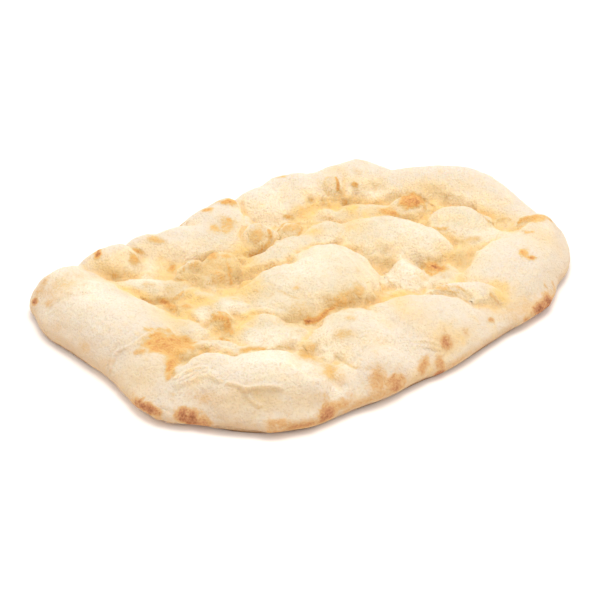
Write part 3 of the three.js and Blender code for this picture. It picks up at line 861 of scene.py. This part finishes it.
def browning(points, ragged, photograph):
    """Depth of bake at the points, from the spots and streaks and their ragged edges; a few of them are
    painted shade.
    """
    bake = np.zeros(len(points))
    for spot in SPOTS:
        reach = photograph.seen_reach(points, spot) * (1 + SPOT_RAGGEDNESS * ragged)
        core = np.exp(-SPOT_FALL * reach**3)
        halo = HALO * np.exp(-HALO_FALL * reach**2)
        bake = np.maximum(bake, spot[-1] * np.maximum(core, halo))
    for _, place, half_length, half_height, depth in HIDDEN_SPOTS:
        offset = (points - place) / (half_length, half_length, half_height)
        reach = np.linalg.norm(offset, axis=1) * (1 + SPOT_RAGGEDNESS * ragged)
        bake = np.maximum(bake, depth * np.exp(-SPOT_FALL * reach**3))
    for _, depth, half_width, pixels in STREAKS:
        line = [photograph.point(*pixel) for pixel in pixels]
        reach = line_gap(points, line) / half_width * (1 + STREAK_RAGGEDNESS * ragged)
        bake = np.maximum(bake, depth * np.exp(-SOFT_FALL * reach**2))
    return bake


def tinting(points, ragged, photograph):
    """How golden the points are, from the patches, partly painted warm shade: below zero where pale, partly
    painted light.
    """
    gold = np.zeros(len(points))
    for patch in TINTS:
        reach = photograph.seen_reach(points, patch) * (1 + ragged)
        gold = gold + patch[-1] * np.exp(-SOFT_FALL * reach**2)
    return np.clip(gold, -1, 1)


def relief(points, deep, within, photograph):
    """Rise of the skin along its normals: unevenness and folds."""
    rise = np.zeros(len(points))
    for layer, (height, length) in enumerate(UNEVENNESS):
        rise = rise + height * noise_layer(points, length, LAYER_OFFSET * layer)
    rim = smooth_step((SMOOTH_RIM_END - within) / SMOOTH_RIM_FADE)
    rise = rise * (1 - RIM_SMOOTHNESS * rim) * (TOP_ROUGHNESS + HOLLOW_ROUGHNESS * deep)
    for _, height, half_width, pixels in FOLDS:
        line = [photograph.point(*pixel) for pixel in pixels]
        rise = rise + height * np.exp(-((line_gap(points, line) / half_width) ** 2))
    return rise


def lump_rise(points, photograph):
    """Rise of the skin straight up at the lumps, and its fall at the dents."""
    rise = np.zeros(len(points))
    for lump in LUMPS:
        rise = rise + lump[-1] * np.exp(-SOFT_FALL * photograph.seen_reach(points, lump) ** 4)
    return rise


def box_mean(heights, half):
    """Mean of a grid of heights over a square of cells round each one."""
    for _ in range(2):
        padded = np.pad(heights, ((half + 1, half), (0, 0)), mode="edge").cumsum(0)
        heights = ((padded[2 * half + 1:] - padded[:-2 * half - 1]) / (2 * half + 1)).T
    return heights


def dips(points, reach):
    """How far points lie below the mean height of the skin round them."""
    shape = (2 * HALF_CELLS_X + 1, 2 * HALF_CELLS_Y + 1)
    heights = points[:shape[0] * shape[1], 2].reshape(shape)
    mean = box_mean(box_mean(heights, reach), reach)
    return np.pad((mean - heights).ravel(), (0, len(points) - heights.size))


def ragged_edge(points):
    """Noise that makes the edges of the patches ragged."""
    return sum(strength * noise_layer(points, length, offset) for strength, length, offset in RAGGED_LAYERS)


def crust_shades(points, normals, within, deep, bake, gold):
    """How much of each kind of crust shows at the points, some of them painted light and shade."""
    # Pale patches: partly flour dusting, partly painted light on shaded slopes and feet
    pale = np.clip(-gold, 0, 1)
    inside = smooth_step((within - INSIDE_INSET) / INSIDE_FADE)
    # Painted light: share of the bright warm colour on steep slopes and in hollows, where shade falls
    painted_light = np.maximum(smooth_step((PAINTED_LIGHT_SLOPE - normals[:, 2]) / PAINTED_LIGHT_FADE), PAINTED_LIGHT_IN_HOLLOWS * deep)
    # Tan on steep outer flanks and towards the bottom: partly baked tan, partly painted shade
    steep = smooth_step((FLANK_SLOPE - normals[:, 2]) / FLANK_FADE)
    low_tan_and_shade = smooth_step((LOW_TAN_AND_SHADE_HEIGHT - points[:, 2]) / LOW_TAN_AND_SHADE_HEIGHT)
    # Painted shade in small creases
    crease = smooth_step((dips(points, CREASE_REACH) - CREASE_START) / CREASE_FADE)
    crease = crease * smooth_step((within - CREASE_INSET) / CREASE_INSET_FADE)
    return {
        "bake": bake,
        # Gold in hollows: partly golden crust, partly painted warm shade
        "hollow": np.clip(HOLLOW_GOLD * deep + gold, 0, 1),
        "flour": 1 - smooth_step((within - FLOUR_INSET) / FLOUR_FADE),
        "flank": np.maximum(steep * (1 - inside) * (1 - pale), low_tan_and_shade),
        "crease": crease * (1 - pale),
        # Browned underside and lower foot, partly painted contact shade
        "under": 1 - smooth_step((points[:, 2] - UNDER_START) / UNDER_FADE),
        "pale": pale,
        "painted_light": painted_light * inside * (1 - PAINTED_LIGHT_LOST_TO_PALE * pale),
        "edge": 1 - inside,
    }


def mesh_object(points, faces, last_ring, shades):
    """The bread as an object, its last ring closed to a middle point and its shades kept on its points."""
    middle = len(points)
    points = np.vstack([points, [[0, 0, 0]]])
    caps = [(middle, a, b) for a, b in zip(last_ring.tolist(), np.roll(last_ring, -1).tolist())]
    mesh = bpy.data.meshes.new("bread")
    mesh.from_pydata((points * MM).tolist(), [], faces.tolist() + caps)
    mesh.polygons.foreach_set("use_smooth", np.ones(len(mesh.polygons), bool))
    for name, values in shades.items():
        layer = mesh.attributes.new(name, "FLOAT", "POINT")
        layer.data.foreach_set("value", np.append(values, values[-1]))
    bread = bpy.data.objects.new("bread", mesh)
    bpy.context.scene.collection.objects.link(bread)
    return bread


def make_bread():
    """The bread: its form, then lumps, relief and blisters, with the shades of its crust."""
    points, faces, last_ring = bread_mesh()
    ragged = ragged_edge(points)
    skin = smooth_step(points[:, 2] / WAIST)
    within = inset(points[:, 0], points[:, 1])
    deep = smooth_step((dips(points, HOLLOW_REACH) - HOLLOW_START) / HOLLOW_FADE)
    deep = deep * smooth_step((within - HOLLOW_INSET) / HOLLOW_INSET_FADE)

    photograph = Photograph(points, faces)
    points[:, 2] += lump_rise(points, photograph) * skin
    normals = point_normals(points, faces)
    points = points + normals * (relief(points, deep, within, photograph) * skin)[:, None]

    normals = point_normals(points, faces)
    photograph = Photograph(points, faces)
    bake = browning(points, ragged, photograph) * smooth_step(points[:, 2] / FOOT_FADE)
    gold = tinting(points, ragged, photograph)
    points = points + normals * (BLISTER * bake * skin)[:, None]
    shades = crust_shades(points, normals, within, deep, bake, gold)
    return mesh_object(points, faces, last_ring, shades)


class Shading:
    """Short calls for the nodes of one material."""

    def __init__(self, name):
        self.material = bpy.data.materials.new(name)
        self.material.use_nodes = True
        self.nodes = self.material.node_tree.nodes
        self.links = self.material.node_tree.links
        self.shader = self.nodes["Principled BSDF"]

    def feed(self, socket, value):
        """Link a node's output to a socket, or set a plain value on it."""
        if isinstance(value, bpy.types.NodeSocket):
            self.links.new(value, socket)
        else:
            socket.default_value = value

    def attribute(self, name):
        """One of the shades kept on the bread's points."""
        node = self.nodes.new("ShaderNodeAttribute")
        node.attribute_name = name
        return node.outputs["Fac"]

    def noise(self, length, detail):
        """Noise of a given length in millimetres, between 0 and 1."""
        place = self.nodes.new("ShaderNodeTexCoord")
        node = self.nodes.new("ShaderNodeTexNoise")
        self.feed(node.inputs["Vector"], place.outputs["Object"])
        node.inputs["Scale"].default_value = 1 / (length * MM)
        node.inputs["Detail"].default_value = detail
        return node.outputs["Fac"]

    def combine(self, kind, a, b, clamp=False):
        """Two values put together, and kept between 0 and 1 if asked."""
        node = self.nodes.new("ShaderNodeMath")
        node.operation = kind
        node.use_clamp = clamp
        self.feed(node.inputs[0], a)
        self.feed(node.inputs[1], b)
        return node.outputs["Value"]

    def mix(self, share, a, b):
        """A share of the second colour over the first."""
        node = self.nodes.new("ShaderNodeMix")
        node.data_type = "RGBA"
        self.feed(node.inputs[0], share)
        first, second = node.inputs[FIRST_COLOUR], node.inputs[SECOND_COLOUR]
        for socket, value in ((first, a), (second, b)):
            self.feed(socket, (*value, 1) if isinstance(value, tuple) else value)
        return node.outputs[MIXED_COLOUR]

    def ramp(self, share, stops):
        """The colour at a share of the way along the stops."""
        node = self.nodes.new("ShaderNodeValToRGB")
        elements = node.color_ramp.elements
        while len(elements) < len(stops):
            elements.new(0.5)
        for element, (place, colour) in zip(elements, stops):
            element.position = place
            element.color = (*colour, 1)
        self.feed(node.inputs["Fac"], share)
        return node.outputs["Color"]


def crust_material():
    """Floured, golden and browned crust, with painted light and shade, mixed by the shades on the bread's
    points.
    """
    crust = Shading("crust")
    grain = crust.noise(GRAIN, DETAIL)
    mottle = crust.noise(MOTTLE, MOTTLE_DETAIL)
    cloud = crust.noise(CLOUD, DETAIL)

    def patchy(name):
        """A shade that comes and goes in broad clouds."""
        least, most = PATCHES[name]
        share = crust.combine("ADD", crust.combine("MULTIPLY", cloud, most - least), least)
        return crust.combine("MULTIPLY", crust.attribute(name), share, True)

    colour = crust.mix(patchy("flour"), CREAM, FLOURED)
    # Tan on outer flanks and low sides: partly baked tan, partly painted shade
    colour = crust.mix(patchy("flank"), colour, TAN)
    # Pale patches: partly flour, partly painted light on shaded slopes and feet
    colour = crust.mix(patchy("pale"), colour, FLOUR_AND_PAINTED_LIGHT)
    # Painted light over shaded slopes and hollows
    colour = crust.mix(crust.attribute("painted_light"), colour, PAINTED_LIGHT)
    # Gold in hollows: partly golden crust, partly painted warm shade
    colour = crust.mix(patchy("hollow"), colour, GOLD)
    # Painted shade in small creases
    colour = crust.mix(patchy("crease"), colour, PAINTED_CREASE_SHADE)
    # Browned underside and lower foot, partly painted contact shade
    colour = crust.mix(crust.attribute("under"), colour, UNDERSIDE)

    blotches = crust.combine("SUBTRACT", mottle, NOISE_MIDDLE)
    stipple = crust.combine("SUBTRACT", grain, NOISE_MIDDLE)
    uneven = crust.combine("ADD", crust.combine("ADD", blotches, stipple), 1)
    depth = crust.combine("MULTIPLY", crust.attribute("bake"), uneven, True)
    cover = crust.combine("MULTIPLY", depth, BAKE_COVER, True)
    baked = crust.mix(crust.attribute("edge"), crust.ramp(depth, BAKED), crust.ramp(depth, BAKED_EDGE))
    colour = crust.mix(crust.combine("MULTIPLY", blotches, GOLD_BLOTCHES, True), colour, GOLD)
    colour = crust.mix(crust.combine("MULTIPLY", stipple, TAN_STIPPLE, True), colour, TAN)
    colour = crust.mix(cover, colour, baked)
    crust.feed(crust.shader.inputs["Base Color"], colour)

    bump = crust.nodes.new("ShaderNodeBump")
    bump.inputs["Strength"].default_value = 1.0
    bump.inputs["Distance"].default_value = GRAIN_HEIGHT * MM
    crust.feed(bump.inputs["Height"], crust.combine("ADD", grain, crust.noise(PORES, DETAIL)))
    crust.feed(crust.shader.inputs["Normal"], bump.outputs["Normal"])
    crust.shader.inputs["Subsurface Weight"].default_value = SCATTER
    crust.shader.inputs["Subsurface Radius"].default_value = SCATTER_RADII
    crust.shader.inputs["Subsurface Scale"].default_value = SCATTER_DEPTH * MM
    crust.shader.inputs["Roughness"].default_value = CRUST_ROUGHNESS
    crust.shader.inputs["Specular IOR Level"].default_value = CRUST_SHEEN
    return crust.material


def make_floor():
    """The plain pale floor that the bread lies on."""
    bpy.ops.mesh.primitive_plane_add(size=FLOOR_SIZE)
    floor = bpy.context.object
    floor.name = "floor"
    material = bpy.data.materials.new("floor")
    material.use_nodes = True
    shader = material.node_tree.nodes["Principled BSDF"]
    shader.inputs["Base Color"].default_value = FLOOR_COLOUR
    shader.inputs["Roughness"].default_value = FLOOR_ROUGHNESS
    floor.data.materials.append(material)


def camera_axes():
    """Directions to the camera's right, up and back."""
    turn, rise = math.radians(CAMERA_TURN), math.radians(CAMERA_RISE)
    back = Vector((math.sin(turn) * math.cos(rise), -math.cos(turn) * math.cos(rise), math.sin(rise)))
    right = Vector((math.cos(turn), math.sin(turn), 0))
    return right, back.cross(right), back


def make_camera():
    """The camera, as it stood for the photograph."""
    right, up, back = camera_axes()
    camera = bpy.data.objects.new("camera", bpy.data.cameras.new("camera"))
    place = Matrix((right, up, back)).transposed().to_4x4()
    place.translation = (Vector(CAMERA_AIM) + CAMERA_DISTANCE * back) * MM
    camera.matrix_world = place
    camera.data.sensor_width = SENSOR
    camera.data.lens = FOCAL_WIDTHS * SENSOR
    bpy.context.scene.collection.objects.link(camera)
    bpy.context.scene.camera = camera


def make_light():
    """An even white sky, and one soft light overhead."""
    scene = bpy.context.scene
    world = bpy.data.worlds.new("studio")
    world.use_nodes = True
    background = world.node_tree.nodes["Background"]
    background.inputs["Color"].default_value = SKY_COLOUR
    background.inputs["Strength"].default_value = SKY_STRENGTH
    scene.world = world
    scene.view_settings.view_transform = "Standard"
    right, _, back = camera_axes()
    away = Vector((-back.x, -back.y, 0)).normalized()
    key = bpy.data.objects.new("key", bpy.data.lights.new("key", "AREA"))
    key.data.energy = KEY_POWER
    key.data.size = KEY_SIZE
    key.location = KEY_SIDE * right + KEY_BEHIND * away + Vector((0, 0, KEY_HEIGHT))
    key.rotation_euler = (-key.location).to_track_quat("-Z", "Y").to_euler()
    scene.collection.objects.link(key)


make_camera()
make_light()
make_floor()
bread = make_bread()
bread.data.materials.append(crust_material())
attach(bread, "root")
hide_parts("pinsa_base")
